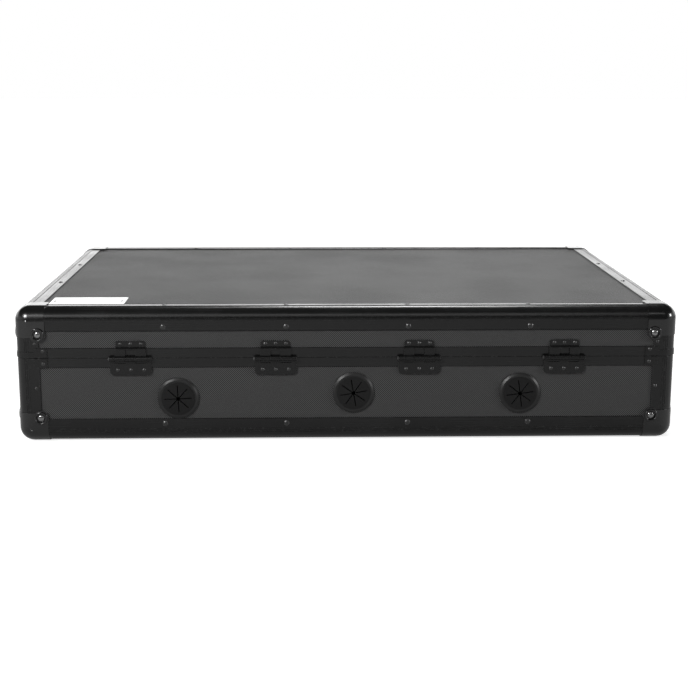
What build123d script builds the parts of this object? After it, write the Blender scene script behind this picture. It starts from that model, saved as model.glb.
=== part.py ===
from build123d import *
from math import asin, atan2, degrees
import os

# A pedalboard built into a hinged flight case: a lid and a base of laminated panels held in
# aluminium edge profiles, with corner caps, four hinges, three cable grommets, two turn latches,
# a carrying handle and a sloping slatted deck inside.
# Frame: origin on the floor under the middle of the case, +X along the hinge side, +Y away from
# the hinges towards the handle, +Z up. Millimetres.

os.makedirs("parts", exist_ok=True)

# ---------------------------------------------------------------- driving dimensions
WIDTH = 800.0            # X, over the corner caps
DEPTH = 541.5            # Y, over the corner caps
HEIGHT = 167.0           # Z, over the corner caps
SPLIT_Z = 104.9          # height at which the lid meets the base
CAP_PROUD = 0.8          # how far the caps stand out of the edge profiles

# Edge profile, measured inwards from the two outer planes that meet in its corner
LEG = 28.8               # flange leg
NOSE_R = 16.0            # rounded nose
NOSE_WALL = 1.7
FLANGE_STEP = 0.5        # flange face below the nose
FLANGE_T = 1.2
GRIP_T = 1.5             # inner wall that holds the panel
GRIP_LEG = 20.0
BEAD_R = 0.75            # rounded bead along the flange's free edge
RIB_R = 0.5              # pair of fine grooves at either end of the nose
RIB_STARTS = (188, 254)  # turn of each pair about the nose's centre, in degrees
RIB_SPREAD = 8
PANEL_T = 6.0

# Closing frame of lid and base
BAND_H = 12.1            # visible height of each closing profile
BAND_CHAMFER = 0.5       # along the closing profile's free edge
SPLIT_REBATE = (1.0, 0.5)   # depth and height of the rebate on both sides of the split
BASE_SHELF = 1.5
LID_BLOCK = 5.8
TONGUE_H = 2.4
TONGUE = (3.2, 5.0)      # inwards from the outer plane
GROOVE = (2.2, 6.4)
GROOVE_H = 3.3
LID_GRIP_H = 5.0
BASE_GRIP_H = 9.0
MITRE_REACH = 50.0

# Corner braces on the closing frame
BRACE_START = 377.0      # outer and inner end of a brace, from the middle of the long side
BRACE_END = 361.0
BRACE_T = 0.8
STRAP_Z = (0.5, 7.2)     # above the split
TAB_H = 11.2
TAB_OFFSET = 6.2         # tab centre from the split

# Corner caps
CAP_LEG = 37.0
CAP_R = 17.2
BOSS_SIDE = 28.5         # boss centre from the side of the case
BOSS_END = {"lid": 33.4, "base": 30.6}   # boss centre from the case's top and bottom
BOSS_R = 8.2
BOSS_RISE = 2.0
BOSS_WELL_R = 5.3
BOSS_ROUND = 1.2         # rounding of the boss's rim
WELL_FLOOR = 0.3         # floor of the boss's well, outside the edge profile
EAR_R = 9.4              # round lobe of the cap under each boss
TOP_EAR_R = 9.4

# Hinges
HINGE_X = (-261.4, -87.4, 86.0, 262.1)
HINGE_OUT = 3.6          # pin axis outside the edge profile's outer plane
HINGE_Z = 104.5
KNUCKLE_R = 3.0
PIN_R = 1.5
PIN_BORE_R = 1.55
PIN_HEAD_R = 2.1
LEAF_T = 1.4
LEAF_FACE = -0.9         # outer face of the leaves and plates that lie on the closing profile
LOWER_LEAF_HALF = 25.0   # half the width of the fixed leaf
LOWER_LEAF_Z = (84.0, 98.3)
LOWER_LEAF_CORNER = 4.5
FIXED_KNUCKLES = ((-25.0, -19.1), (-5.9, 5.9), (19.1, 25.0))
ARM_HALF = 18.6          # half the width over the moving leaf's two arms
ARM_GAP_HALF = 6.2
ARM_FACE = -2.3          # outer face of the arms
UPPER_LEAF_HALF = 17.8
UPPER_LEAF_TOP = 125.6
STEP_Z = (116.3, 118.7)  # sloping step between the arms and the upper leaf
UPPER_LEAF_FACE = 0.3
UPPER_LEAF_CORNER = 2.6
PIN_HEAD_T = 1.0
PIN_GAP = 0.4            # clearance between a pin's head and the leaf
PIN_TAIL = 0.6           # pin's other end past the leaf

# Cable grommets: x, z and turn of the star about its axis
GROMMETS = {"left": (-205.4, 54.7, 2.5), "middle": (6.7, 60.8, 10.0), "right": (209.4, 59.3, 8.0)}
GROMMET_R = 25.0
GROMMET_BORE_R = 20.2
GROMMET_BARREL_R = 22.2
RING_RISE = 3.2          # ring's face above the panel
BARREL_OUT = 3.6         # threaded barrel past the panel's inner face
LOCK_RING_R = 27.0
LOCK_RING_T = 3.0
STAR_R = 20.1
STAR_T = 1.9
STAR_HOLE_R = 2.2
SLIT_REACH = 16.5
SLIT_W = 0.36

# Latches on the front
LATCH_X = {"left": -235.0, "right": 235.0}
LATCH_Z = 82.0
LATCH_THROW = 30.0       # pivot to keeper stud
LATCH_PLATE_W = 60.0
LATCH_PLATE_Z = (42.0, 104.2)
KEEPER_W = 40.0
KEEPER_Z = (106.6, 132.6)
PLATE_CORNER = 4.0
PAD_INSET = 1.5          # pad behind a plate, smaller than the plate by this much
PIVOT_R = 4.0
PIVOT_COLLAR_R = 7.0
STUD_R = 2.6
STUD_HEAD_R = 4.4
STUD_GAP = 0.6
CAM_GAP = 2.3            # cam's inner face above the plates
CAM_T = 2.5
CAM_HUB_R = 11.0
CAM_RIM = 4.0            # metal left outside the cam's slot
THUMB_BAR = (40.0, 9.0)  # length and width of the bar turned by hand
THUMB_BAR_H = 6.9

# Handle on the front
HANDLE_Z = 80.0
HANDLE_OUT = 7.3
HANDLE_DROP = 40.0
HANDLE_PLATE = (152.0, 50.0)
HANDLE_PLATE_Z = 65.5    # middle of the plate
BAIL_R = 4.0
BAIL_BEND_R = 6.0
ARM_X = 50.0             # the bail's two arms, from the middle
LUG_X = 62.0
LUG_W = 10.0
LUG_R = 7.0
GRIP_LENGTH = 84.0
GRIP_SECTION = (22.0, 12.6)

# Pedal deck
DECK_FRONT = (235.0, 22.0)   # y, z of the rails' upper edge at the player's end
DECK_REAR = (-215.0, 62.0)
RAIL_X = (-352.0, 0.0, 352.0)
RAIL_W = 18.0
SLAT_COUNT = 4
SLAT_W = 92.0
SLAT_GAP = 24.0
SLAT_LENGTH = 744.0
SLAT_T = 9.0
SLAT_START = 5.0         # from the player's end of the rails to the first slat
LOOP_T = 2.5
LOOP_INSET = 4.0         # carpet strip's edge inside the slat's edge
FOAM_T = 20.0
FOAM_GAP = 3.0           # foam's edge to the inner legs of the edge profiles

# Name plate on top of the lid
NAME_PLATE_SPOT = (-317.4, -215.3)
NAME_PLATE = (91.0, 46.0, 0.8)

# Rivets
EDGE_RIVET_IN = 22.9     # from the outer plane, on the top and bottom faces
EDGE_RIVET_END = {"lid": 23.6, "base": 22.2}   # from the top or bottom plane, on the walls
LONG_RIVETS = (-221.9, -74.5, 72.7, 220.1)
SHORT_RIVETS = (-77.2, 77.2)
POST_RIVET_IN = 23.7
POST_RIVET_Z = {"lid": 122.6, "base": 67.5}
BRACE_RIVET_IN = 33.0
BRACE_RIVET_Z = {"lid": 113.4, "base": 98.2}
UPPER_LEAF_RIVET_Z = 121.8
LOWER_LEAF_RIVET_Z = 90.2
EDGE_RIVET = (3.2, 1.1)  # radius and height of each kind of head
CAP_RIVET = (4.7, 2.2)
SMALL_RIVET = (2.1, 0.9)
NAME_PLATE_RIVET = (1.9, 0.5)

# ---------------------------------------------------------------- derived planes
HX = WIDTH / 2 - CAP_PROUD          # outer planes of the edge profiles
HY = DEPTH / 2 - CAP_PROUD
Z0 = CAP_PROUD
Z1 = HEIGHT - CAP_PROUD
PANEL_IN = FLANGE_STEP + FLANGE_T   # panel face, inwards from an outer plane
GRIP_IN = PANEL_IN + PANEL_T
BEAD_FACE = PANEL_IN - 2 * BEAD_R   # top of the bead, inwards from an outer plane
PANEL_END = NOSE_R + 0.3            # panel edge, inwards from the plane it runs towards
POST_CLEAR = LEG + 0.2
BAR_END = LEG + 0.5
FLOOR_Z = Z0 + GRIP_IN              # inside face of the bottom panel
CEILING_Z = Z1 - GRIP_IN            # inside face of the top panel
SIDES = {"front": (0, 1, 0), "rear": (0, -1, 0), "left": (-1, 0, 0), "right": (1, 0, 0)}


def save(builder, label):
    """Labels a finished sub-part and writes it as its own STEP file."""
    builder.part.label = label
    export_step(builder.part, f"parts/{label}.step")


def on_side(side, along, z, inwards):
    """A plane facing out of one wall, `inwards` from the wall's outer plane."""
    nx, ny, _ = SIDES[side]
    x = nx * (HX - inwards) if nx else along
    y = ny * (HY - inwards) if ny else along
    return Plane(origin=(x, y, z), x_dir=(-ny, nx, 0), z_dir=(nx, ny, 0))


def on_top(x, y, inwards):
    return Plane(origin=(x, y, Z1 - inwards), x_dir=(1, 0, 0), z_dir=(0, 0, 1))


def on_bottom(x, y, inwards):
    return Plane(origin=(x, y, Z0 + inwards), x_dir=(1, 0, 0), z_dir=(0, 0, -1))


def across(x, y, z=0):
    """A plane that faces +X, for sections drawn in Y and Z."""
    return Plane(origin=(x, y, z), x_dir=(0, 1, 0), z_dir=(1, 0, 0))


def patch(x0, y0, x1, y1, mode=Mode.ADD):
    """A rectangle between two corners, for use inside a sketch."""
    with Locations(((x0 + x1) / 2, (y0 + y1) / 2)):
        Rectangle(x1 - x0, y1 - y0, mode=mode)


def block(low, high):
    """A plain board between two corners."""
    with BuildPart() as board:
        with BuildSketch(Plane.XY.offset(low[2])):
            patch(low[0], low[1], high[0], high[1])
        extrude(amount=high[2] - low[2])
    return board


def edge_bar(corner, inward_a, inward_b, length):
    """A run of the edge profile centred on `corner`, with its legs along the inward directions."""
    along = Vector(*inward_a).cross(Vector(*inward_b))
    start = Vector(*corner) - along * (length / 2)
    with BuildPart() as bar:
        with BuildSketch(Plane(origin=start, x_dir=inward_a, z_dir=along)):
            with Locations((NOSE_R, NOSE_R)):
                Circle(NOSE_R)
                Circle(NOSE_R - NOSE_WALL, mode=Mode.SUBTRACT)
                Rectangle(NOSE_R, NOSE_R, align=(Align.MAX, Align.MAX), mode=Mode.INTERSECT)
                for start in RIB_STARTS:
                    with PolarLocations(NOSE_R, 2, start, angular_range=RIB_SPREAD, endpoint=True):
                        Circle(RIB_R, mode=Mode.SUBTRACT)
            # flange, end bead, slot floor and grip, then the same again across the diagonal
            for p0, q0, p1, q1 in (
                (FLANGE_STEP, NOSE_R - 0.1, PANEL_IN, LEG - BEAD_R),
                (1.0, NOSE_R - 1.3, GRIP_IN + 0.5, NOSE_R + 0.2),
                (GRIP_IN, GRIP_IN, GRIP_IN + GRIP_T, GRIP_LEG),
            ):
                patch(p0, q0, p1, q1)
                patch(q0, p0, q1, p1)
            with Locations((PANEL_IN - BEAD_R, LEG - BEAD_R), (LEG - BEAD_R, PANEL_IN - BEAD_R)):
                Circle(BEAD_R)
        extrude(amount=length)
    return bar


def rivet_heads(groups):
    """Domed rivet heads: each group is (radius, height, planes that they sit on)."""
    with BuildPart() as heads:
        for radius, height, spots in groups:
            dome_r = (radius**2 + height**2) / (2 * height)
            latitude = degrees(asin((dome_r - height) / dome_r))
            with Locations(*spots):
                Sphere(
                    dome_r,
                    arc_size1=latitude,
                    arc_size2=90,
                    align=(Align.CENTER, Align.CENTER, Align.MIN),
                )
    return heads


# ---------------------------------------------------------------- panels
flat_x = HX - PANEL_END
flat_y = HY - PANEL_END
save(block((-flat_x, -flat_y, CEILING_Z), (flat_x, flat_y, Z1 - PANEL_IN)), "lid_top_panel")
save(block((-flat_x, -flat_y, Z0 + PANEL_IN), (flat_x, flat_y, FLOOR_Z)), "base_bottom_panel")

BASE_WALL_Z = (Z0 + PANEL_END, SPLIT_Z - BASE_SHELF - 0.1)
LID_WALL_Z = (SPLIT_Z + LID_BLOCK + 0.1, Z1 - PANEL_END)


def wall_panel(side, z_range):
    nx, ny, _ = SIDES[side]
    outer = HX - PANEL_IN if nx else HY - PANEL_IN
    inner = outer - PANEL_T
    near, far = sorted(((nx + ny) * inner, (nx + ny) * outer))
    if nx:
        return block((near, -flat_y, z_range[0]), (far, flat_y, z_range[1]))
    return block((-flat_x, near, z_range[0]), (flat_x, far, z_range[1]))


for side in SIDES:
    save(wall_panel(side, LID_WALL_Z), f"lid_{side}_panel")
    if side != "rear":
        save(wall_panel(side, BASE_WALL_Z), f"base_{side}_panel")

with BuildPart() as base_rear_panel:
    add(wall_panel("rear", BASE_WALL_Z).part)
    with Locations(*[on_side("rear", x, z, PANEL_IN) for x, z, _ in GROMMETS.values()]):
        Cylinder(GROMMET_BARREL_R + 0.1, 4 * PANEL_T, mode=Mode.SUBTRACT)
save(base_rear_panel, "base_rear_panel")

# ---------------------------------------------------------------- edge profiles and corner posts
for body, z, inward_z in (("lid", Z1, (0, 0, -1)), ("base", Z0, (0, 0, 1))):
    for side, (nx, ny, _) in SIDES.items():
        corner = (nx * HX, ny * HY, z)
        length = 2 * ((HY if nx else HX) - BAR_END)
        save(edge_bar(corner, (-nx, -ny, 0), inward_z, length), f"{body}_{side}_edge")

POST_Z = {
    "lid": (SPLIT_Z + LID_BLOCK, Z1 - BAR_END),
    "base": (Z0 + BAR_END, SPLIT_Z - BASE_SHELF),
}
for body, (low, high) in POST_Z.items():
    with BuildPart() as posts:
        for sx in (-1, 1):
            for sy in (-1, 1):
                corner = (sx * HX, sy * HY, (low + high) / 2)
                add(edge_bar(corner, (-sx, 0, 0), (0, -sy, 0), high - low).part)
    save(posts, f"{body}_corner_posts")


# ---------------------------------------------------------------- closing frame
def ring(outer, inner, z_low, z_high, mode=Mode.ADD, rounded=True):
    """A rectangular ring between two insets from the outer planes."""
    with BuildSketch(Plane.XY.offset(z_low)) as outline:
        for inset, sketch_mode in ((outer, Mode.ADD), (inner, Mode.SUBTRACT)):
            if rounded:
                corner_r = NOSE_R - inset
                RectangleRounded(2 * (HX - inset), 2 * (HY - inset), corner_r, mode=sketch_mode)
            else:
                Rectangle(2 * (HX - inset), 2 * (HY - inset), mode=sketch_mode)
    extrude(outline.sketch, amount=z_high - z_low, mode=mode)


def mitred(side, reach, z_low, z_high):
    """Cuts the part down to one side of the frame, mitred at both ends."""
    nx, ny, _ = SIDES[side]
    half_run, outer = (HY, HX) if nx else (HX, HY)
    corners = [
        (-half_run, outer), (half_run, outer),
        (half_run - reach, outer - reach), (reach - half_run, outer - reach),
    ]
    turn = degrees(atan2(ny, nx)) - 90
    with BuildSketch(Plane.XY.offset(z_low)) as outline:
        with Locations(Rotation(0, 0, turn)):
            Polygon(*corners, align=None)
    extrude(outline.sketch, amount=z_high - z_low, mode=Mode.INTERSECT)


def closing_profile(body, side):
    lid = body == "lid"
    rim = SPLIT_Z + LID_BLOCK if lid else SPLIT_Z - BASE_SHELF
    band_z = (rim, SPLIT_Z + BAND_H) if lid else (SPLIT_Z - BAND_H, rim)
    rebate_in, rebate_h = SPLIT_REBATE
    grip_z = (rim, rim + LID_GRIP_H) if lid else (rim - BASE_GRIP_H, rim)
    with BuildPart() as profile:
        ring(FLANGE_STEP, PANEL_IN, *band_z, rounded=False)
        ring(GRIP_IN, GRIP_IN + GRIP_T, *grip_z, rounded=False)
        with Locations(*[(sx * HX, sy * HY, rim) for sx in (-1, 1) for sy in (-1, 1)]):
            Box(2 * POST_CLEAR, 2 * POST_CLEAR, 4 * BAND_H, mode=Mode.SUBTRACT)
        if lid:
            ring(FLANGE_STEP, GRIP_IN + GRIP_T, SPLIT_Z + rebate_h, rim)
            ring(FLANGE_STEP + rebate_in, GRIP_IN + GRIP_T, SPLIT_Z, SPLIT_Z + rebate_h)
            ring(*GROOVE, SPLIT_Z, SPLIT_Z + GROOVE_H, mode=Mode.SUBTRACT)
        else:
            ring(FLANGE_STEP, GRIP_IN + GRIP_T, rim, SPLIT_Z - rebate_h)
            ring(FLANGE_STEP + rebate_in, GRIP_IN + GRIP_T, SPLIT_Z - rebate_h, SPLIT_Z)
            ring(*TONGUE, SPLIT_Z, SPLIT_Z + TONGUE_H)
        mitred(side, MITRE_REACH, SPLIT_Z - 2 * BAND_H, SPLIT_Z + 2 * BAND_H)
        free_end = profile.edges().group_by(Axis.Z)[-1 if lid else 0]
        chamfer(free_end.sort_by(Axis((0, 0, 0), SIDES[side]))[-1], length=BAND_CHAMFER)
    return profile


for body in ("lid", "base"):
    for side in SIDES:
        save(closing_profile(body, side), f"{body}_{side}_closing")


# ---------------------------------------------------------------- corner braces
tab_width = BRACE_START - BRACE_END


def tab_planes(z, inwards):
    """The eight planes that the brace tabs stand on, two on each wall."""
    planes = []
    for side, (nx, _, _) in SIDES.items():
        centre = BRACE_START - tab_width / 2 - (HX - HY if nx else 0)
        planes += [on_side(side, sign * centre, z, inwards) for sign in (-1, 1)]
    return planes


with BuildPart() as lid_corner_braces:
    # a low strap round each corner, with a full-height tab on either face
    ring(-BRACE_T, 0, SPLIT_Z + STRAP_Z[0], SPLIT_Z + STRAP_Z[1])
    with BuildSketch(Plane.XY.offset(SPLIT_Z)):
        Rectangle(2 * BRACE_START, 2 * WIDTH)
        Rectangle(2 * WIDTH, 2 * (BRACE_START - HX + HY))
    extrude(amount=BAND_H, mode=Mode.SUBTRACT)
    for plane in tab_planes(SPLIT_Z + TAB_OFFSET, BEAD_FACE):
        with BuildSketch(plane):
            Rectangle(tab_width, TAB_H)
        extrude(amount=BEAD_FACE + BRACE_T)
save(lid_corner_braces, "lid_corner_braces")

with BuildPart() as base_corner_braces:
    for plane in tab_planes(SPLIT_Z - TAB_OFFSET, BEAD_FACE):
        with BuildSketch(plane):
            RectangleRounded(tab_width, TAB_H, 1.0)
        extrude(amount=BRACE_T)
save(base_corner_braces, "base_corner_braces")


# ---------------------------------------------------------------- corner caps
def outer_edges(builder, tip):
    """The three edges of a box that meet in its corner `tip`."""
    def planes_touched(edge):
        return sum(abs(a - b) < 0.01 for a, b in zip(edge.center(), tip))
    return [edge for edge in builder.edges() if planes_touched(edge) == 2]


def rounded_solid(tip, size, radius):
    """A box that hangs from its corner `tip`, its three outer edges rounded."""
    with BuildPart() as solid:
        with Locations(tip):
            Box(size, size, size, align=(Align.MAX, Align.MAX, Align.MAX))
        fillet(outer_edges(solid, tip), radius)
    return solid


def corner_cap(boss_end):
    """The cap of the corner at +X, +Y and the top."""
    tip = (WIDTH / 2, DEPTH / 2, HEIGHT)
    boss_planes = [
        on_side("front", WIDTH / 2 - BOSS_SIDE, HEIGHT - boss_end, 0),
        on_side("right", DEPTH / 2 - BOSS_SIDE, HEIGHT - boss_end, 0),
    ]
    top_ear = on_top(WIDTH / 2 - BOSS_SIDE, DEPTH / 2 - BOSS_SIDE, 0)
    crest_h = CAP_PROUD + BOSS_RISE
    with BuildPart() as cap:
        add(rounded_solid(tip, CAP_LEG, CAP_R).part)
        for plane, ear_r in ((boss_planes[0], EAR_R), (boss_planes[1], EAR_R), (top_ear, TOP_EAR_R)):
            with Locations(plane):
                Cylinder(ear_r, CAP_PROUD, align=(Align.CENTER, Align.CENTER, Align.MIN))
        add(rounded_solid((HX, HY, Z1), 2 * CAP_LEG, NOSE_R).part, mode=Mode.SUBTRACT)
        crests = []
        for plane in boss_planes:
            with Locations(plane):
                Cylinder(BOSS_R, crest_h, align=(Align.CENTER, Align.CENTER, Align.MIN))
            with Locations(plane.offset(WELL_FLOOR)):
                Cylinder(
                    BOSS_WELL_R, crest_h, align=(Align.CENTER, Align.CENTER, Align.MIN), mode=Mode.SUBTRACT
                )
            crest = plane.offset(crest_h).origin
            crests += [
                edge for edge in cap.edges().filter_by(GeomType.CIRCLE)
                if (edge.arc_center - crest).length < 0.01
            ]
        fillet(crests, BOSS_ROUND)
    return cap.part


def cap_set(boss_end):
    """The four caps of one level, mirrored from the one at +X and +Y."""
    cap = corner_cap(boss_end)
    pair = [cap, mirror(cap, about=Plane.YZ)]
    return pair + [mirror(item, about=Plane.XZ) for item in pair]


lid_caps = cap_set(BOSS_END["lid"])
base_caps = [mirror(cap, about=Plane.XY.offset(HEIGHT / 2)) for cap in cap_set(BOSS_END["base"])]

with BuildPart() as lid_corner_caps:
    add(lid_caps)
save(lid_corner_caps, "lid_corner_caps")

with BuildPart() as base_corner_caps:
    add(base_caps)
save(base_corner_caps, "base_corner_caps")


# ---------------------------------------------------------------- hinges
def hinge_lower(x):
    """Fixed leaf on the base, with the two outer knuckles and the middle one."""
    half, (low, high) = LOWER_LEAF_HALF, LOWER_LEAF_Z
    with BuildPart() as leaf:
        with BuildSketch(on_side("rear", x, 0, FLANGE_STEP)):
            patch(-half, low, half, high)
            fillet(vertices().group_by(Axis.Y)[0], LOWER_LEAF_CORNER)
            for left, right in FIXED_KNUCKLES:
                patch(left, high - 1, right, HINGE_Z)
        extrude(amount=LEAF_T)
        # pad that carries the leaf's lower half on the recessed panel
        with BuildSketch(on_side("rear", x, 0, PANEL_IN)):
            patch(1 - half, low + 1, half - 1, SPLIT_Z - BAND_H - 0.3)
            fillet(vertices().group_by(Axis.Y)[0], LOWER_LEAF_CORNER - 1)
        extrude(amount=FLANGE_T)
        for left, right in FIXED_KNUCKLES:
            with BuildSketch(across(x - right, -HY - HINGE_OUT, HINGE_Z)):
                Circle(KNUCKLE_R)
                patch(0, -KNUCKLE_R, HINGE_OUT - 0.2, 0)
                Circle(PIN_BORE_R, mode=Mode.SUBTRACT)
            extrude(amount=right - left)
    return leaf.part


def hinge_upper(x):
    """Moving leaf on the lid: a plate on the panel that steps out over the closing profile."""
    step_low, step_high = STEP_Z
    back = ARM_FACE + LEAF_T
    below = HINGE_Z - 2 * KNUCKLE_R
    with BuildPart() as leaf:
        section = across(x - ARM_HALF, -HY)
        with BuildSketch(section):
            with BuildLine():
                Polyline(
                    (PANEL_IN, UPPER_LEAF_TOP), (UPPER_LEAF_FACE, UPPER_LEAF_TOP),
                    (UPPER_LEAF_FACE, step_high), (ARM_FACE, step_low), (ARM_FACE, HINGE_Z),
                    (back, HINGE_Z), (back, step_low - 0.6), (UPPER_LEAF_FACE, step_high - 1.7),
                    (UPPER_LEAF_FACE, step_high - 1.4), (PANEL_IN, step_high - 1.4), close=True,
                )
            make_face()
        extrude(amount=2 * ARM_HALF)
        with BuildSketch(section):
            with Locations((-HINGE_OUT, HINGE_Z)):
                Circle(KNUCKLE_R)
        extrude(amount=2 * ARM_HALF)
        with BuildSketch(section):
            with Locations((-HINGE_OUT, HINGE_Z)):
                Circle(PIN_BORE_R)
        extrude(amount=2 * ARM_HALF, mode=Mode.SUBTRACT)
        with BuildSketch(on_side("rear", x, 0, 2 * PANEL_IN)):
            patch(-UPPER_LEAF_HALF, step_low, UPPER_LEAF_HALF, UPPER_LEAF_TOP)
            fillet(vertices().group_by(Axis.Y)[-1], UPPER_LEAF_CORNER)
            patch(-ARM_HALF, below, ARM_HALF, step_low + 0.6)
            patch(-ARM_GAP_HALF, below, ARM_GAP_HALF, step_low - 0.6, mode=Mode.SUBTRACT)
        extrude(amount=WIDTH, mode=Mode.INTERSECT)
    return leaf.part


with BuildPart() as hinge_lower_leaves:
    add([hinge_lower(x) for x in HINGE_X])
save(hinge_lower_leaves, "hinge_lower_leaves")

with BuildPart() as hinge_upper_leaves:
    add([hinge_upper(x) for x in HINGE_X])
save(hinge_upper_leaves, "hinge_upper_leaves")

with BuildPart() as hinge_pins:
    for x in HINGE_X:
        head_end = x - LOWER_LEAF_HALF - PIN_GAP
        pin_end = x + LOWER_LEAF_HALF + PIN_TAIL
        for radius, end in ((PIN_R, pin_end), (PIN_HEAD_R, head_end)):
            with BuildSketch(across(head_end - PIN_HEAD_T, -HY - HINGE_OUT, HINGE_Z)):
                Circle(radius)
            extrude(amount=end - head_end + PIN_HEAD_T)
save(hinge_pins, "hinge_pins")

# ---------------------------------------------------------------- cable grommets
for name, (x, z, turn) in GROMMETS.items():
    face = on_side("rear", x, z, PANEL_IN)
    with BuildPart() as grommet_ring:
        with BuildSketch(face):
            Circle(GROMMET_R)
            Circle(GROMMET_BORE_R, mode=Mode.SUBTRACT)
        extrude(amount=RING_RISE)
        rim = grommet_ring.edges().filter_by(GeomType.CIRCLE).group_by(Axis.Y)[0]
        chamfer(rim.sort_by(SortBy.RADIUS)[-1:], length=1.6, length2=2.4)
        with BuildSketch(face.offset(-PANEL_T - BARREL_OUT)):
            Circle(GROMMET_BARREL_R)
            Circle(GROMMET_BORE_R, mode=Mode.SUBTRACT)
        extrude(amount=PANEL_T + BARREL_OUT)
    save(grommet_ring, f"grommet_ring_{name}")

    with BuildPart() as grommet_star:
        with BuildSketch(face.offset(0.2)):
            Circle(STAR_R)
            Circle(STAR_HOLE_R, mode=Mode.SUBTRACT)
            with PolarLocations(0, 8, start_angle=turn):
                patch(0, -SLIT_W / 2, SLIT_REACH, SLIT_W / 2, mode=Mode.SUBTRACT)
        extrude(amount=STAR_T)
    save(grommet_star, f"grommet_star_{name}")

with BuildPart() as grommet_lock_rings:
    for x, z, _ in GROMMETS.values():
        with BuildSketch(on_side("rear", x, z, GRIP_IN + LOCK_RING_T)):
            RegularPolygon(LOCK_RING_R, 12)
            Circle(GROMMET_BARREL_R + 0.05, mode=Mode.SUBTRACT)
        extrude(amount=LOCK_RING_T)
save(grommet_lock_rings, "grommet_lock_rings")

# ---------------------------------------------------------------- latches
def stepped_plate(x, width, z_range, pad_range):
    """A plate on the closing profile, with a pad behind its far end that reaches the panel."""
    inset = PAD_INSET - width / 2
    with BuildPart() as plate:
        with BuildSketch(on_side("front", x, 0, FLANGE_STEP)):
            patch(-width / 2, z_range[0], width / 2, z_range[1])
            fillet(vertices(), PLATE_CORNER)
        extrude(amount=LEAF_T)
        with BuildSketch(on_side("front", x, 0, PANEL_IN)):
            patch(inset, pad_range[0], -inset, pad_range[1])
        extrude(amount=FLANGE_T)
    return plate.part


def keeper(x):
    """Lid plate with a headed stud for the cam to hook over."""
    stud_length = CAM_GAP + CAM_T + 0.4
    face = on_side("front", x, LATCH_Z + LATCH_THROW, LEAF_FACE)
    with BuildPart() as plate:
        add(stepped_plate(x, KEEPER_W, KEEPER_Z, (SPLIT_Z + BAND_H + 0.3, KEEPER_Z[1] - PAD_INSET)))
        with BuildSketch(face):
            Circle(STUD_R)
        extrude(amount=stud_length)
        with BuildSketch(face.offset(stud_length)):
            Circle(STUD_HEAD_R)
        extrude(amount=1.5)
        fillet(plate.faces().sort_by(Axis.Y)[-1].edges(), 0.5)
    return plate.part


def latch_plate(x):
    """Base plate with the pivot pin."""
    face = on_side("front", x, LATCH_Z, LEAF_FACE)
    pad_range = (LATCH_PLATE_Z[0] + PAD_INSET, SPLIT_Z - BAND_H - 0.3)
    with BuildPart() as plate:
        add(stepped_plate(x, LATCH_PLATE_W, LATCH_PLATE_Z, pad_range))
        for radius, length in ((PIVOT_COLLAR_R, CAM_GAP - 0.4), (PIVOT_R, CAM_GAP + CAM_T + 2.3)):
            with BuildSketch(face):
                Circle(radius)
            extrude(amount=length)
    return plate.part


def latch_cam(x):
    """Hook and thumb bar in one piece, hanging unlatched; half a turn brings the hook up."""
    back = on_side("front", x, LATCH_Z, LEAF_FACE - CAM_GAP)
    slot_in = LATCH_THROW - STUD_R - STUD_GAP
    slot_out = LATCH_THROW + STUD_R + STUD_GAP
    slot_start = -90 - degrees((STUD_R + STUD_GAP) / LATCH_THROW)
    with BuildPart() as cam:
        # the hook points down (-90 degrees) and its slot is open on the leading side
        with BuildSketch(back):
            with BuildLine():
                outer = CenterArc((0, 0), slot_out + CAM_RIM, -118, 42)
                Line((0, 0), outer @ 0)
                Line((0, 0), outer @ 1)
            make_face()
            Circle(CAM_HUB_R)
            with BuildLine():
                far = CenterArc((0, 0), slot_out, slot_start, 40)
                near = CenterArc((0, 0), slot_in, slot_start, 40)
                Line(far @ 0, near @ 0)
                Line(far @ 1, near @ 1)
            make_face(mode=Mode.SUBTRACT)
        extrude(amount=CAM_T)
        with BuildSketch(back.offset(CAM_T)):
            Circle(CAM_HUB_R)
        extrude(amount=1.3, taper=20)
        with BuildSketch(back.offset(CAM_T)):
            SlotOverall(*THUMB_BAR, rotation=90)
        extrude(amount=THUMB_BAR_H, taper=6)
        with BuildSketch(back):
            Circle(PIVOT_R + 0.05)
        extrude(amount=CAM_T + 2.7, mode=Mode.SUBTRACT)
    return cam


with BuildPart() as latch_keepers:
    add([keeper(x) for x in LATCH_X.values()])
save(latch_keepers, "latch_keepers")

with BuildPart() as latch_plates:
    add([latch_plate(x) for x in LATCH_X.values()])
save(latch_plates, "latch_plates")

for name, x in LATCH_X.items():
    save(latch_cam(x), f"latch_cam_{name}")

# ---------------------------------------------------------------- handle
HANDLE_Y = HY + HANDLE_OUT
HANDLE_LOW = HANDLE_Z - HANDLE_DROP

with BuildPart() as handle_plate:
    with BuildSketch(on_side("front", 0, HANDLE_PLATE_Z, PANEL_IN)):
        RectangleRounded(*HANDLE_PLATE, 6)
    extrude(amount=LEAF_T)
    for sign in (-1, 1):
        with BuildSketch(across(sign * LUG_X - LUG_W / 2, HY)):
            patch(-1, HANDLE_Z - LUG_R, HANDLE_OUT, HANDLE_Z + LUG_R)
            with Locations((HANDLE_OUT, HANDLE_Z)):
                Circle(LUG_R)
                Circle(BAIL_R + 0.05, mode=Mode.SUBTRACT)
        extrude(amount=LUG_W)
save(handle_plate, "handle_plate")

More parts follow.
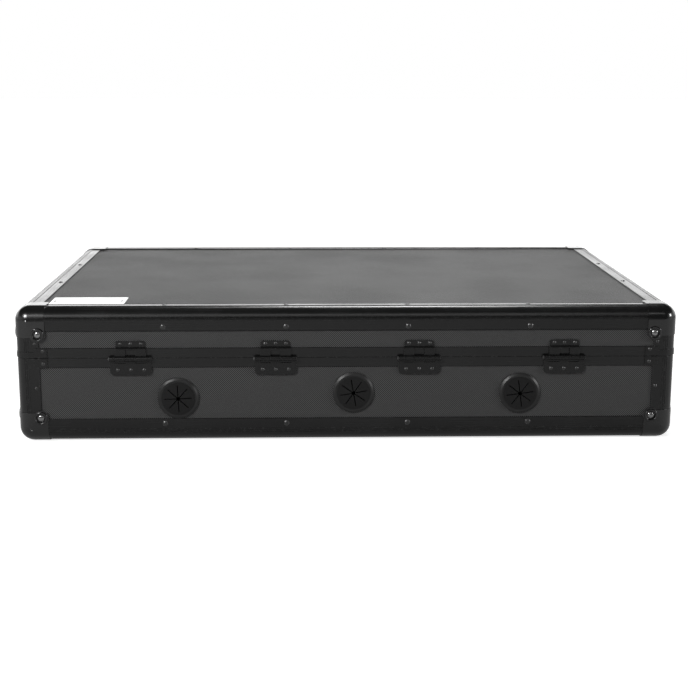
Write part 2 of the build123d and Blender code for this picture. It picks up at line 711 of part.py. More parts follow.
with BuildPart() as handle_bail:
    bail_end = LUG_X + LUG_R
    with BuildLine() as bail_path:
        FilletPolyline(
            (-bail_end, HANDLE_Y, HANDLE_Z), (-ARM_X, HANDLE_Y, HANDLE_Z),
            (-ARM_X, HANDLE_Y, HANDLE_LOW), (ARM_X, HANDLE_Y, HANDLE_LOW),
            (ARM_X, HANDLE_Y, HANDLE_Z), (bail_end, HANDLE_Y, HANDLE_Z),
            radius=BAIL_BEND_R,
        )
    with BuildSketch(Plane(origin=bail_path.line @ 0, z_dir=bail_path.line % 0)):
        Circle(BAIL_R)
    sweep()
save(handle_bail, "handle_bail")

with BuildPart() as handle_grip:
    grip_end = across(-GRIP_LENGTH / 2, HANDLE_Y, HANDLE_LOW)
    with BuildSketch(grip_end):
        SlotOverall(*GRIP_SECTION, rotation=90)
    extrude(amount=GRIP_LENGTH)
    ends = handle_grip.edges().group_by(Axis.X)
    fillet(ends[0] + ends[-1], 2.0)
    with BuildSketch(grip_end):
        Circle(BAIL_R + 0.02)
    extrude(amount=GRIP_LENGTH, mode=Mode.SUBTRACT)
save(handle_grip, "handle_grip")

# ---------------------------------------------------------------- pedal deck
deck_run = DECK_FRONT[0] - DECK_REAR[0]
deck_rise = DECK_REAR[1] - DECK_FRONT[1]
deck_plane = Plane(origin=(0, *DECK_FRONT), x_dir=(1, 0, 0), z_dir=(0, deck_rise, deck_run))
first_slat = SLAT_START + SLAT_W / 2
slat_spots = [(0, -first_slat - index * (SLAT_W + SLAT_GAP)) for index in range(SLAT_COUNT)]

with BuildPart() as deck_rails:
    for x in RAIL_X:
        with BuildSketch(across(x - RAIL_W / 2, 0)):
            feet = [(DECK_REAR[0], FLOOR_Z), (DECK_FRONT[0], FLOOR_Z)]
            Polygon(*feet, DECK_FRONT, DECK_REAR, align=None)
        extrude(amount=RAIL_W)
save(deck_rails, "deck_rails")

with BuildPart() as deck_slats:
    with BuildSketch(deck_plane):
        with Locations(*slat_spots):
            RectangleRounded(SLAT_LENGTH, SLAT_W, LOOP_INSET + 2)
    extrude(amount=SLAT_T)
save(deck_slats, "deck_slats")

with BuildPart() as loop_strips:
    with BuildSketch(deck_plane.offset(SLAT_T)):
        with Locations(*slat_spots):
            RectangleRounded(SLAT_LENGTH - 2 * LOOP_INSET, SLAT_W - 2 * LOOP_INSET, LOOP_INSET)
    extrude(amount=LOOP_T)
save(loop_strips, "loop_strips")

# ---------------------------------------------------------------- lid lining and name plate
foam_x = HX - GRIP_LEG - FOAM_GAP
foam_y = HY - GRIP_LEG - FOAM_GAP
save(block((-foam_x, -foam_y, CEILING_Z - FOAM_T), (foam_x, foam_y, CEILING_Z)), "lid_foam")

with BuildPart() as name_plate:
    plate_w, plate_d, plate_t = NAME_PLATE
    with BuildSketch(on_top(*NAME_PLATE_SPOT, PANEL_IN)):
        RectangleRounded(plate_w, plate_d, 1.5)
    extrude(amount=plate_t)
save(name_plate, "name_plate")


# ---------------------------------------------------------------- rivets
def edge_rivet_planes(body):
    """The rivets along the four edge profiles, on the wall and on the top or bottom face."""
    lid = body == "lid"
    wall_z = Z1 - EDGE_RIVET_END["lid"] if lid else Z0 + EDGE_RIVET_END["base"]
    on_flat = on_top if lid else on_bottom
    planes = []
    for side, (nx, ny, _) in SIDES.items():
        spots = SHORT_RIVETS if nx else LONG_RIVETS
        planes += [on_side(side, spot, wall_z, FLANGE_STEP) for spot in spots]
        for spot in spots:
            x = nx * (HX - EDGE_RIVET_IN) if nx else spot
            y = ny * (HY - EDGE_RIVET_IN) if ny else spot
            planes.append(on_flat(x, y, FLANGE_STEP))
    return planes


def near_corners(inset, z, inwards):
    """Two planes on each wall, `inset` from the case's corners."""
    planes = []
    for side, (nx, _, _) in SIDES.items():
        half = HY if nx else HX
        planes += [on_side(side, s * (half - inset), z, inwards) for s in (-1, 1)]
    return planes


def along_rear(steps, z, inwards):
    return [on_side("rear", x + step, z, inwards) for x in HINGE_X for step in steps]


def on_latches(step, heights):
    return [
        on_side("front", x + s * step, z, LEAF_FACE)
        for x in LATCH_X.values() for s in (-1, 1) for z in heights
    ]


cap_rivet_z = {"lid": HEIGHT - BOSS_END["lid"], "base": BOSS_END["base"]}
for body in ("lid", "base"):
    save(rivet_heads([(*EDGE_RIVET, edge_rivet_planes(body))]), f"{body}_edge_rivets")
    cap_planes = near_corners(BOSS_SIDE - CAP_PROUD, cap_rivet_z[body], -WELL_FLOOR)
    save(rivet_heads([(*CAP_RIVET, cap_planes)]), f"{body}_cap_rivets")

lid_small = along_rear((-12.5, 0, 12.5), UPPER_LEAF_RIVET_Z, UPPER_LEAF_FACE)
lid_small += near_corners(BRACE_RIVET_IN, BRACE_RIVET_Z["lid"], -BRACE_T)
lid_small += near_corners(POST_RIVET_IN, POST_RIVET_Z["lid"], FLANGE_STEP)
lid_small += on_latches(13, (126.5,))
plate_x, plate_y = NAME_PLATE_SPOT
name_plate_spots = [on_top(plate_x + s * 41, plate_y - 3, PANEL_IN - NAME_PLATE[2]) for s in (-1, 1)]
save(
    rivet_heads([(*SMALL_RIVET, lid_small), (*NAME_PLATE_RIVET, name_plate_spots)]),
    "lid_small_rivets",
)

base_small = along_rear((-15.8, 0, 15.8), LOWER_LEAF_RIVET_Z, LEAF_FACE)
base_small += near_corners(BRACE_RIVET_IN, BRACE_RIVET_Z["base"], BEAD_FACE - BRACE_T)
base_small += near_corners(POST_RIVET_IN, POST_RIVET_Z["base"], FLANGE_STEP)
base_small += on_latches(24, (48, 98))
base_small += [on_side("front", s * 68, z, PANEL_IN - LEAF_T) for s in (-1, 1) for z in (46, 66)]
save(rivet_heads([(*SMALL_RIVET, base_small)]), "base_small_rivets")
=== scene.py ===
from math import asin, cos, hypot, pi, radians, sin

import bpy
from mathutils import Matrix, Vector, noise


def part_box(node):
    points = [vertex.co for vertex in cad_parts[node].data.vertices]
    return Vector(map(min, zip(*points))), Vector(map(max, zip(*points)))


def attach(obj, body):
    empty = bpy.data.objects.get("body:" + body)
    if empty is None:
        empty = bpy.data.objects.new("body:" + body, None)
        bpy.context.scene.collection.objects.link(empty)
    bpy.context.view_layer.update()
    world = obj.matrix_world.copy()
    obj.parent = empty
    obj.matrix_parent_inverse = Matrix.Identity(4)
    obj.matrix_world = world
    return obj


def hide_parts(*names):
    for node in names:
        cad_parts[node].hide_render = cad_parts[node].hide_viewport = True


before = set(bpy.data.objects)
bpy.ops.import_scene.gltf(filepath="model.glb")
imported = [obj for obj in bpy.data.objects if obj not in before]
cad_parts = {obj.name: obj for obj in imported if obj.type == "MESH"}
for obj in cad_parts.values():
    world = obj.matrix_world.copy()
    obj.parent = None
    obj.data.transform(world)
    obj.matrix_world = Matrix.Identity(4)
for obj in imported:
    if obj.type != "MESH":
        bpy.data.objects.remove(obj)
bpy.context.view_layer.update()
MM = 0.001

# ---------------------------------------------------------------- camera
CAMERA_PLACE = (-0.05023, -1.83614, 0.45522)
CAMERA_LENS = 69.61
SENSOR_WIDTH = 36
YAW, PITCH, ROLL = radians(-1.6574), radians(12.036), radians(0.1211)

level_x = Vector((cos(YAW), sin(YAW), 0))
level_y = Vector((-sin(YAW), cos(YAW), 0))
forward = level_y * cos(PITCH) - Vector((0, 0, sin(PITCH)))
upright = level_y * sin(PITCH) + Vector((0, 0, cos(PITCH)))
right = level_x * cos(ROLL) + upright * sin(ROLL)
up = upright * cos(ROLL) - level_x * sin(ROLL)

camera = bpy.data.objects.new("camera", bpy.data.cameras.new("camera"))
camera.data.lens = CAMERA_LENS
camera.data.sensor_width = SENSOR_WIDTH
aim = Matrix((right, up, -forward)).transposed().to_4x4()
camera.matrix_world = Matrix.Translation(CAMERA_PLACE) @ aim
bpy.context.collection.objects.link(camera)
bpy.context.scene.camera = camera
bpy.context.scene.view_settings.view_transform = "Standard"


# ---------------------------------------------------------------- lights
def softbox(name, azimuth, elevation, distance, size, power):
    """A rectangular soft light, its azimuth counted from the camera's side towards +X."""
    data = bpy.data.lights.new(name, "AREA")
    data.shape = "RECTANGLE"
    data.size, data.size_y = size
    data.energy = power
    light = bpy.data.objects.new(name, data)
    towards = Vector((sin(azimuth) * cos(elevation), -cos(azimuth) * cos(elevation), sin(elevation)))
    light.location = towards * distance
    light.rotation_euler = towards.to_track_quat("Z", "Y").to_euler()
    light.visible_camera = False
    bpy.context.collection.objects.link(light)


softbox("softbox_left", radians(-38), radians(31), 3.0, (0.7, 0.7), 70)
softbox("softbox_right", radians(66), radians(17), 3.2, (0.6, 0.6), 40)
softbox("front_strip", radians(0), radians(39), 3.0, (2.2, 0.4), 7)
softbox("softbox_back", radians(170), radians(58), 3.2, (0.9, 0.9), 60)


class Nodes:
    """Builds one node tree. Each method adds nodes and returns an output socket."""

    def __init__(self, tree):
        self.tree = tree

    def add(self, kind, **settings):
        node = self.tree.nodes.new(kind)
        for key, value in settings.items():
            setattr(node, key, value)
        return node

    def feed(self, socket, value):
        if isinstance(value, bpy.types.NodeSocket):
            self.tree.links.new(value, socket)
        else:
            socket.default_value = value

    def math(self, operation, *values):
        node = self.add("ShaderNodeMath", operation=operation)
        for socket, value in zip(node.inputs, values):
            self.feed(socket, value)
        return node.outputs[0]

    def scaled(self, vector, scale):
        node = self.add("ShaderNodeVectorMath", operation="MULTIPLY")
        self.feed(node.inputs[0], vector)
        self.feed(node.inputs[1], scale)
        return node.outputs[0]

    def parts(self, vector):
        node = self.add("ShaderNodeSeparateXYZ")
        self.feed(node.inputs[0], vector)
        return list(node.outputs)

    def smooth(self, value, low, high, to_low=0.0, to_high=1.0):
        """Value moved from low..high to to_low..to_high with soft ends."""
        node = self.add("ShaderNodeMapRange", interpolation_type="SMOOTHSTEP")
        for name, given in (
            ("Value", value), ("From Min", low), ("From Max", high), ("To Min", to_low), ("To Max", to_high),
        ):
            self.feed(node.inputs[name], given)
        return node.outputs[0]

    def noise(self, vector, scale, detail=2.0, roughness=0.5):
        node = self.add("ShaderNodeTexNoise")
        self.feed(node.inputs["Vector"], vector)
        node.inputs["Scale"].default_value = scale
        node.inputs["Detail"].default_value = detail
        node.inputs["Roughness"].default_value = roughness
        return node.outputs["Fac"]

    def cells(self, vector, scale):
        node = self.add("ShaderNodeTexVoronoi", feature="F1")
        self.feed(node.inputs["Vector"], vector)
        node.inputs["Scale"].default_value = scale
        return node.outputs["Distance"]

    def mix(self, factor, first, second):
        node = self.add("ShaderNodeMix", data_type="RGBA")
        self.feed(node.inputs[0], factor)
        for socket, value in ((node.inputs[6], first), (node.inputs[7], second)):
            self.feed(socket, value if isinstance(value, bpy.types.NodeSocket) else (*value, 1))
        return node.outputs[2]


def grey(value, warmth=0.0):
    return (value * (1 + warmth), value, value * (1 - warmth))


# ---------------------------------------------------------------- surroundings
def build_world():
    """Pale surroundings, brightest behind the case, which its top surfaces mirror."""
    world = bpy.data.worlds.new("studio")
    bpy.context.scene.world = world
    world.use_nodes = True
    n = Nodes(world.node_tree)
    x, y, z = n.parts(n.add("ShaderNodeTexCoord").outputs["Generated"])
    low = n.smooth(z, 0.42, 0.26)
    behind = n.math("MULTIPLY", low, n.smooth(y, -0.1, 0.75))
    behind = n.math("MULTIPLY", behind, n.smooth(x, -0.5, 0.5, 2.4, 1.9))
    beside = n.math("MULTIPLY", low, n.smooth(n.math("ABSOLUTE", x), 0.55, 0.95, 0.0, 0.8))
    level = n.math("ADD", n.math("MAXIMUM", behind, beside), 0.05)
    seen = n.add("ShaderNodeLightPath").outputs["Is Camera Ray"]
    shade = n.mix(seen, level, grey(1.0))
    n.feed(world.node_tree.nodes["Background"].inputs["Color"], shade)


build_world()


FLOOR_REACH = 14.0


def build_floor():
    """A pale floor, lit from above and, for the camera, by its own glow."""
    mesh = bpy.data.meshes.new("floor")
    corners = [(x * FLOOR_REACH, y * FLOOR_REACH, 0) for x, y in ((-1, -1), (1, -1), (1, 1), (-1, 1))]
    mesh.from_pydata(corners, [], [(0, 1, 2, 3)])
    floor = bpy.data.objects.new("floor", mesh)
    bpy.context.collection.objects.link(floor)
    material = bpy.data.materials.new("floor")
    material.use_nodes = True
    shader = material.node_tree.nodes["Principled BSDF"]
    n = Nodes(material.node_tree)
    place = n.add("ShaderNodeTexCoord").outputs["Object"]
    n.feed(shader.inputs["Base Color"], n.mix(n.noise(place, 3.0), grey(0.46), grey(0.5)))
    shader.inputs["Roughness"].default_value = 0.9
    shader.inputs["Emission Color"].default_value = (1, 1, 1, 1)
    # the camera sees the floor burn out to white, less so near the case
    x, y, _ = n.parts(place)
    away = n.math("MAXIMUM", n.math("ABSOLUTE", x), n.math("ABSOLUTE", y))
    seen = n.add("ShaderNodeLightPath").outputs["Is Camera Ray"]
    glow = n.smooth(away, 0.45, 1.3, 0.72, 1.0)
    n.feed(shader.inputs["Emission Strength"], n.math("MAXIMUM", n.math("MULTIPLY", seen, glow), 0.10))
    mesh.materials.append(material)


build_floor()


# ---------------------------------------------------------------- materials
class Finish(Nodes):
    """One surface finish: the node tree of a material with its Principled shader."""

    def __init__(self, name, specular=0.5, metallic=0.0, sheen=0.0):
        self.material = bpy.data.materials.new(name)
        self.material.use_nodes = True
        super().__init__(self.material.node_tree)
        self.shader = self.tree.nodes["Principled BSDF"]
        self.shader.inputs["Specular IOR Level"].default_value = specular
        self.shader.inputs["Metallic"].default_value = metallic
        self.shader.inputs["Sheen Weight"].default_value = sheen
        self.place = self.add("ShaderNodeTexCoord").outputs["Object"]

    def worn(self, radius):
        """1 along edges, 0 on open faces, broken up so that wear looks uneven."""
        bevel = self.add("ShaderNodeBevel", samples=4)
        bevel.inputs["Radius"].default_value = radius
        node = self.add("ShaderNodeVectorMath", operation="DOT_PRODUCT")
        self.feed(node.inputs[0], bevel.outputs[0])
        self.feed(node.inputs[1], self.add("ShaderNodeNewGeometry").outputs["Normal"])
        edge = self.smooth(node.outputs["Value"], 0.995, 0.86)
        patches = self.smooth(self.noise(self.place, 260, 4, 0.7), 0.46, 0.66)
        return self.math("MULTIPLY", edge, patches)

    def colour(self, value):
        self.feed(self.shader.inputs["Base Color"], value)

    def rough(self, value):
        self.feed(self.shader.inputs["Roughness"], value)

    def bumps(self, *layers):
        """Each layer is (height socket, strength, distance)."""
        normal = None
        for height, strength, distance in layers:
            node = self.add("ShaderNodeBump")
            node.inputs["Strength"].default_value = strength
            node.inputs["Distance"].default_value = distance
            self.feed(node.inputs["Height"], height)
            if normal is not None:
                self.feed(node.inputs["Normal"], normal)
            normal = node.outputs[0]
        self.feed(self.shader.inputs["Normal"], normal)


LATTICE_PITCH = 2.44 * MM


def laminate(name, first, second):
    """Black laminate embossed with a fine staggered lattice; first and second are its two axes."""
    f = Finish(name, specular=0.16)
    axes = f.parts(f.place)
    waves = [f.math("SINE", f.math("MULTIPLY", axes[i], 2 * pi / LATTICE_PITCH)) for i in (first, second)]
    lattice = f.math("MULTIPLY", *waves)
    dots = f.smooth(lattice, -0.45, 0.65)
    cloud = f.noise(f.place, 9, 3)
    grain = f.noise(f.place, 2600, 2)
    # the colour follows the embossing: painted near-black shade on the low ground between the dots, painted
    # lit tops on the raised dots
    painted_shade_ground = f.mix(cloud, grey(0.002), grey(0.004))
    light = f.mix(grain, grey(0.062), grey(0.088))
    f.colour(f.mix(dots, painted_shade_ground, light))
    f.rough(f.math("ADD", f.smooth(dots, 0, 1, 0.56, 0.48), f.smooth(cloud, 0.3, 0.7, -0.03, 0.03)))
    f.bumps((dots, 0.12, 0.05 * MM))
    return f.material


def profile(name, axis, tone=0.0045):
    """Black anodised aluminium, with faint extrusion lines along one axis."""
    f = Finish(name, specular=0.3)
    stretch = [900.0, 900.0, 900.0]
    stretch[axis] = 4.0
    lines = f.noise(f.scaled(f.place, stretch), 1.0, 3, 0.6)
    cloud = f.noise(f.place, 14, 3)
    worn = f.worn(0.5 * MM)
    base = f.mix(lines, grey(tone * 0.8), grey(tone * 1.3))
    base = f.mix(f.smooth(cloud, 0.35, 0.75, 0.0, 0.35), base, grey(tone * 2.2))
    f.colour(f.mix(f.math("MULTIPLY", worn, 0.55), base, grey(0.10)))
    f.rough(f.math("ADD", f.smooth(lines, 0.3, 0.7, 0.20, 0.27), f.smooth(cloud, 0.3, 0.7, -0.02, 0.04)))
    f.bumps((lines, 0.16, 0.05 * MM))
    return f.material


def coated(name, tone, rough=0.34, peel=0.35, specular=0.5, wear=0.5, metallic=0.0):
    """Powder coat: orange peel, slight cloudiness and rubbed edges."""
    f = Finish(name, specular=specular, metallic=metallic)
    peel_noise = f.noise(f.place, 900, 2)
    cloud = f.noise(f.place, 22, 3)
    worn = f.worn(0.6 * MM)
    base = f.mix(cloud, grey(tone * 0.75), grey(tone * 1.3))
    f.colour(f.mix(f.math("MULTIPLY", worn, wear), base, grey(0.12)))
    rough_cloud = f.smooth(cloud, 0.3, 0.7, rough - 0.03, rough + 0.05)
    f.rough(f.math("ADD", rough_cloud, f.smooth(peel_noise, 0.3, 0.7, -0.03, 0.03)))
    f.bumps((peel_noise, peel, 0.04 * MM))
    return f.material


def moulded(name, tone, rough, grain_scale=1500, bump=0.35, specular=0.35):
    """Moulded plastic or rubber with a fine spark-eroded texture."""
    f = Finish(name, specular=specular)
    grain = f.noise(f.place, grain_scale, 3, 0.6)
    cloud = f.noise(f.place, 35, 2)
    dust = f.smooth(f.noise(f.place, 420, 4, 0.7), 0.6, 0.8, 0.0, 0.35)
    f.colour(f.mix(dust, f.mix(cloud, grey(tone * 0.8), grey(tone * 1.25)), grey(tone * 2.6)))
    rough_cloud = f.smooth(cloud, 0.3, 0.7, rough - 0.04, rough + 0.05)
    f.rough(f.math("ADD", rough_cloud, f.smooth(grain, 0.3, 0.7, -0.04, 0.04)))
    f.bumps((grain, bump, 0.05 * MM))
    return f.material


DECK_SLOPE = 0.0889      # rise over run of the deck
VENEER = 1.6 * MM


def stained_wood(name):
    """Plywood stained black: long grain on the faces, veneer layers on the cut edges."""
    f = Finish(name, specular=0.3)
    _, y, z = f.parts(f.place)
    grain = f.noise(f.scaled(f.place, (9, 160, 160)), 1.0, 5, 0.65)
    pores = f.noise(f.scaled(f.place, (60, 1800, 1800)), 1.0, 2)
    above_deck = f.math("MULTIPLY_ADD", y, DECK_SLOPE, z)
    layers = f.math("SINE", f.math("MULTIPLY", above_deck, 2 * pi / VENEER))
    layers = f.smooth(layers, -0.3, 0.6, 0.0, 0.3)
    base = f.mix(grain, grey(0.014, 0.08), grey(0.045, 0.1))
    f.colour(f.mix(layers, base, grey(0.075, 0.14)))
    f.rough(f.smooth(grain, 0.25, 0.75, 0.48, 0.66))
    f.bumps((grain, 0.3, 0.2 * MM), (pores, 0.25, 0.08 * MM))
    return f.material


def loop_pile(name):
    """Dense loop fabric: small uneven tufts with a soft sheen."""
    f = Finish(name, specular=0.2, sheen=0.25)
    f.shader.inputs["Sheen Roughness"].default_value = 0.5
    tufts = f.cells(f.place, 620)
    fibre = f.noise(f.place, 3200, 3, 0.7)
    cloud = f.noise(f.place, 26, 4)
    # painted shade: the gaps between the tufts are darker and the tuft tops lighter, following their bump
    base = f.mix(f.smooth(tufts, 0.15, 0.7), grey(0.060), grey(0.012))
    f.colour(f.mix(f.smooth(cloud, 0.35, 0.75, 0.0, 0.4), base, grey(0.05)))
    f.rough(f.smooth(fibre, 0.2, 0.8, 0.82, 0.98))
    f.bumps((tufts, 0.8, -0.5 * MM), (fibre, 0.6, 0.15 * MM))
    return f.material


def open_foam(name):
    """Charcoal polyurethane foam with open cells."""
    f = Finish(name, specular=0.15, sheen=0.12)
    pores = f.cells(f.place, 950)
    coarse = f.noise(f.place, 260, 4, 0.65)
    cloud = f.noise(f.place, 12, 3)
    # painted shade: the sunken cells are darker and their raised rims lighter, following their bump
    base = f.mix(f.smooth(pores, 0.1, 0.65), grey(0.018), grey(0.075))
    f.colour(f.mix(cloud, base, grey(0.055)))
    f.rough(f.smooth(coarse, 0.2, 0.8, 0.88, 1.0))
    f.bumps((pores, 0.7, 0.5 * MM), (coarse, 0.4, 0.4 * MM))
    return f.material


def plate_metal(name):
    """Brushed aluminium with a darker blank border line."""
    f = Finish(name, specular=0.5, metallic=1.0)
    low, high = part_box("name_plate")
    brushed = f.noise(f.scaled(f.place, (30, 2600, 30)), 1.0, 3, 0.6)
    smudge = f.noise(f.place, 60, 4)
    x, y, _ = f.parts(f.place)
    inset, line = 4.5 * MM, 0.9 * MM
    across = []
    for i, axis in ((0, x), (1, y)):
        off_centre = f.math("ABSOLUTE", f.math("SUBTRACT", axis, (low[i] + high[i]) / 2))
        across.append(f.math("SUBTRACT", off_centre, (high[i] - low[i]) / 2 - inset))
    distance = f.math("ABSOLUTE", f.math("MAXIMUM", *across))
    border = f.smooth(distance, line, line * 0.5, 0.0, 0.55)
    base = f.mix(brushed, grey(0.74), grey(0.93))
    f.colour(f.mix(border, base, grey(0.30)))
    f.rough(f.math("ADD", f.smooth(brushed, 0.3, 0.7, 0.26, 0.40), f.smooth(smudge, 0.4, 0.7, 0.0, 0.08)))
    f.bumps((brushed, 0.15, 0.04 * MM))
    return f.material


def paint(material, *names):
    for name in names:
        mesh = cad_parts[name].data
        mesh.materials.clear()
        mesh.materials.append(material)


SIDES = ("front", "rear", "left", "right")
BODIES = ("lid", "base")
panel_xz = laminate("laminate_long_walls", 0, 2)
panel_yz = laminate("laminate_short_walls", 1, 2)
panel_xy = laminate("laminate_top_and_bottom", 0, 1)
profile_x = profile("profile_long", 0)
profile_y = profile("profile_short", 1)
profile_z = profile("profile_posts", 2)
for body in BODIES:
    for side in SIDES:
        along_y = side in ("left", "right")
        paint(panel_yz if along_y else panel_xz, f"{body}_{side}_panel")
        paint(profile_y if along_y else profile_x, f"{body}_{side}_edge", f"{body}_{side}_closing")
paint(panel_xy, "lid_top_panel", "base_bottom_panel")
paint(profile_z, "lid_corner_posts", "base_corner_posts")
paint(coated("cap_coat", 0.004, rough=0.19, peel=0.15), "lid_corner_caps", "base_corner_caps")
paint(coated("brace_coat", 0.004, rough=0.27, specular=0.3), "lid_corner_braces", "base_corner_braces")
paint(
    coated("rivet_coat", 0.012, rough=0.3, peel=0.15, wear=0.8),
    "lid_edge_rivets", "base_edge_rivets", "lid_small_rivets", "base_small_rivets",
)
paint(
    coated("cap_rivet_coat", 0.20, rough=0.10, peel=0.05, wear=0.0, metallic=0.8),
    "lid_cap_rivets", "base_cap_rivets",
)
paint(
    coated("hinge_coat", 0.004, rough=0.27, specular=0.28, wear=0.45),
    "hinge_lower_leaves", "hinge_upper_leaves",
)
paint(coated("pin_zinc", 0.05, rough=0.3, peel=0.1), "hinge_pins")
ring_plastic = moulded("grommet_plastic", 0.009, 0.40, specular=0.3)
paint(ring_plastic, "grommet_ring_left", "grommet_ring_middle", "grommet_ring_right", "grommet_lock_rings")
star_rubber = moulded("grommet_rubber", 0.0035, 0.46, specular=0.22)
paint(star_rubber, "grommet_star_left", "grommet_star_middle", "grommet_star_right")
paint(
    coated("latch_coat", 0.012, rough=0.32, wear=0.7),
    "latch_plates", "latch_keepers", "latch_cam_left", "latch_cam_right", "handle_plate", "handle_bail",
)
paint(moulded("grip_rubber", 0.013, 0.62, grain_scale=900, bump=0.6), "handle_grip")
paint(stained_wood("deck_stain"), "deck_rails", "deck_slats")
pile_material = loop_pile("loop_pile")
paint(pile_material, "loop_strips")
foam_material = open_foam("foam")
paint(foam_material, "lid_foam")
paint(plate_metal("name_plate_metal"), "name_plate")


# ---------------------------------------------------------------- new pieces
def piece(name, verts, faces, material, body, node):
    """A smooth new mesh that rides on a body, stands for a CAD node and has a slot's finish."""
    mesh = bpy.data.meshes.new(name)
    mesh.from_pydata(verts, [], faces)
    mesh.shade_smooth()
    mesh.materials.append(material)
    obj = bpy.data.objects.new(name, mesh)
    bpy.context.collection.objects.link(obj)
    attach(obj, body)
    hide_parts(node)
    return obj


def grid_faces(columns, rows, first=0):
    """Quads of a grid whose points run row by row."""
    corners = [first + r * columns + c for r in range(rows - 1) for c in range(columns - 1)]
    return [(i, i + 1, i + columns + 1, i + columns) for i in corners]


def grid_border(columns, rows):
    """Point numbers once round the edge of the same grid."""
    border = list(range(columns)) + [r * columns + columns - 1 for r in range(1, rows)]
    border += [(rows - 1) * columns + c for c in range(columns - 2, -1, -1)]
    return border + [r * columns for r in range(rows - 2, 0, -1)]


PETALS = 8
PETAL_COLUMNS = 9
SLIT_HALF = 0.55 * MM
STAR_RADII = [r * MM for r in (2.2, 2.8, 4.0, 6.0, 8.5, 11.0, 13.5, 15.6, 16.5, 17.6, 19.0, 20.1)]
SOLID_FROM = 8           # rows from here outwards have no slits
STAR_RISE = 0.8 * MM


def cable_star(side, turn):
    """A rubber disc cut into petals, which rise a little towards the hole in the middle."""
    low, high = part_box(f"grommet_star_{side}")
    centre_x, centre_z = (low[0] + high[0]) / 2, (low[2] + high[2]) / 2
    sector = 2 * pi / PETALS
    columns = PETALS * PETAL_COLUMNS
    verts, faces = [], []
    for r in STAR_RADII:
        trim = asin(SLIT_HALF / r)
        rise = STAR_RISE * (1 - (r / STAR_RADII[-1]) ** 2)
        for petal in range(PETALS):
            for c in range(PETAL_COLUMNS):
                angle = turn + petal * sector + trim + (sector - 2 * trim) * c / (PETAL_COLUMNS - 1)
                verts.append((centre_x + r * cos(angle), low[1] - rise, centre_z + r * sin(angle)))
    for row in range(len(STAR_RADII) - 1):
        for c in range(columns):
            slit = c % PETAL_COLUMNS == PETAL_COLUMNS - 1
            if slit and row < SOLID_FROM:
                continue
            after = (c + 1) % columns
            a, b = row * columns + c, row * columns + after
            faces.append((a, b, b + columns, a + columns))
    star = piece(
        f"cable_star_{side}", verts, faces, star_rubber, "base",
        f"grommet_star_{side}",
    )
    thick = star.modifiers.new("thickness", "SOLIDIFY")
    thick.thickness = high[1] - low[1]
    thick.offset = -1
    soft = star.modifiers.new("soft_edges", "BEVEL")
    soft.width = 0.3 * MM
    soft.segments = 3
    soft.limit_method = "ANGLE"
    soft.angle_limit = radians(50)


for side, turn in (("left", 2.5), ("middle", 10), ("right", 8)):
    cable_star(side, radians(turn))

FOAM_PITCH = 38 * MM
FOAM_DEPTH = 11 * MM
FOAM_STEP = 5 * MM
FOAM_ROUND = 5 * MM


def convoluted_foam():
    """Egg-crate foam glued under the lid's top, its peaks pointing down at the pedals."""
    low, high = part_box("lid_foam")
    columns = round((high[0] - low[0]) / FOAM_STEP) + 1
    rows = round((high[1] - low[1]) / FOAM_STEP) + 1
    wave = 2 * pi / FOAM_PITCH
    verts = []
    for r in range(rows):
        for c in range(columns):
            x = low[0] + (high[0] - low[0]) * c / (columns - 1)
            y = low[1] + (high[1] - low[1]) * r / (rows - 1)
            peak = 0.5 + 0.5 * sin(wave * x) * sin(wave * y)
            uneven = 0.35 * MM * noise.noise((x * 70, y * 70, 0))
            rim = min(x - low[0], high[0] - x, y - low[1], high[1] - y)
            rounded = FOAM_ROUND * max(0.0, 1 - rim / FOAM_ROUND) ** 2
            depth = FOAM_DEPTH * (1 - peak**0.8) + max(0.0, uneven) + rounded
            verts.append((x, y, low[2] + depth))
    faces = [tuple(reversed(face)) for face in grid_faces(columns, rows)]
    border = grid_border(columns, rows)
    top = len(verts)
    verts += [(verts[i][0], verts[i][1], high[2]) for i in border]
    count = len(border)
    for k in range(count):
        after = (k + 1) % count
        faces.append((border[k], border[after], top + after, top + k))
    faces.append(tuple(range(top, top + count)))
    foam = piece("convoluted_foam", verts, faces, foam_material, "lid", "lid_foam")


convoluted_foam()

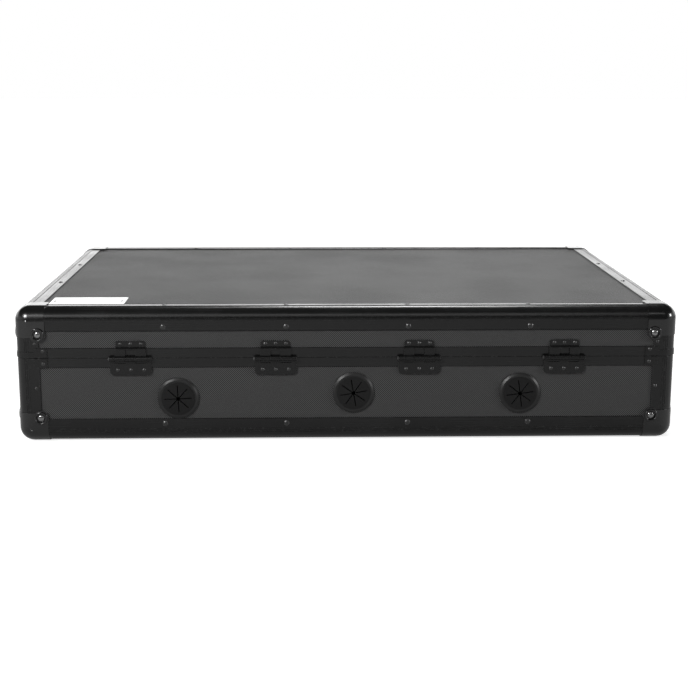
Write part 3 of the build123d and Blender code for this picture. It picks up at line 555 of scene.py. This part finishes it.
DECK_LOW = Vector((0, 235, 22)) * MM         # upper edge of the deck's rails at both ends
DECK_HIGH = Vector((0, -215, 62)) * MM
SLAT_T = 9 * MM
SLAT_COUNT = 4
FIRST_SLAT = 51 * MM
SLAT_PITCH = 116 * MM
STRIP_LENGTH, STRIP_WIDTH = 736 * MM, 84 * MM
STRIP_T = 2.5 * MM
STRIP_STEP = 4 * MM
STRIP_CORNER = 4 * MM


def loop_strip(index):
    """A strip of loop fabric laid on one slat, with a thin rolled edge and an uneven pile."""
    along_deck = (DECK_HIGH - DECK_LOW).normalized()
    normal = Vector((1, 0, 0)).cross(-along_deck)
    origin = DECK_LOW + along_deck * (FIRST_SLAT + index * SLAT_PITCH) + normal * SLAT_T
    columns = round(STRIP_LENGTH / STRIP_STEP) + 1
    rows = round(STRIP_WIDTH / STRIP_STEP) + 1
    verts = []
    for top in (1, 0):
        for r in range(rows):
            for c in range(columns):
                u = STRIP_LENGTH * (c / (columns - 1) - 0.5)
                v = STRIP_WIDTH * (r / (rows - 1) - 0.5)
                # corners are pulled in to a small radius
                over_u = max(0.0, abs(u) - STRIP_LENGTH / 2 + STRIP_CORNER)
                over_v = max(0.0, abs(v) - STRIP_WIDTH / 2 + STRIP_CORNER)
                reach = hypot(over_u, over_v)
                if reach > STRIP_CORNER:
                    pull = STRIP_CORNER / reach
                    u -= (over_u * (1 - pull)) * (1 if u > 0 else -1)
                    v -= (over_v * (1 - pull)) * (1 if v > 0 else -1)
                edge = min(STRIP_LENGTH / 2 - abs(u), STRIP_WIDTH / 2 - abs(v))
                fullness = 1 - 0.55 * max(0.0, 1 - edge / STRIP_STEP) ** 2
                pile = 0.25 * MM * noise.noise((u * 300 + index * 9, v * 300, 0))
                height = top * min(STRIP_T, STRIP_T * 0.9 * fullness + pile)
                verts.append(origin + Vector((u, 0, 0)) - along_deck * v + normal * height)
    lower = columns * rows
    faces = grid_faces(columns, rows)
    faces += [tuple(reversed(face)) for face in grid_faces(columns, rows, lower)]
    border = grid_border(columns, rows)
    for k, i in enumerate(border):
        j = border[(k + 1) % len(border)]
        faces.append((i, i + lower, j + lower, j))
    strip = piece(
        f"loop_strip_{index + 1}", verts, faces, pile_material, "base", "loop_strips"
    )


for index in range(SLAT_COUNT):
    loop_strip(index)
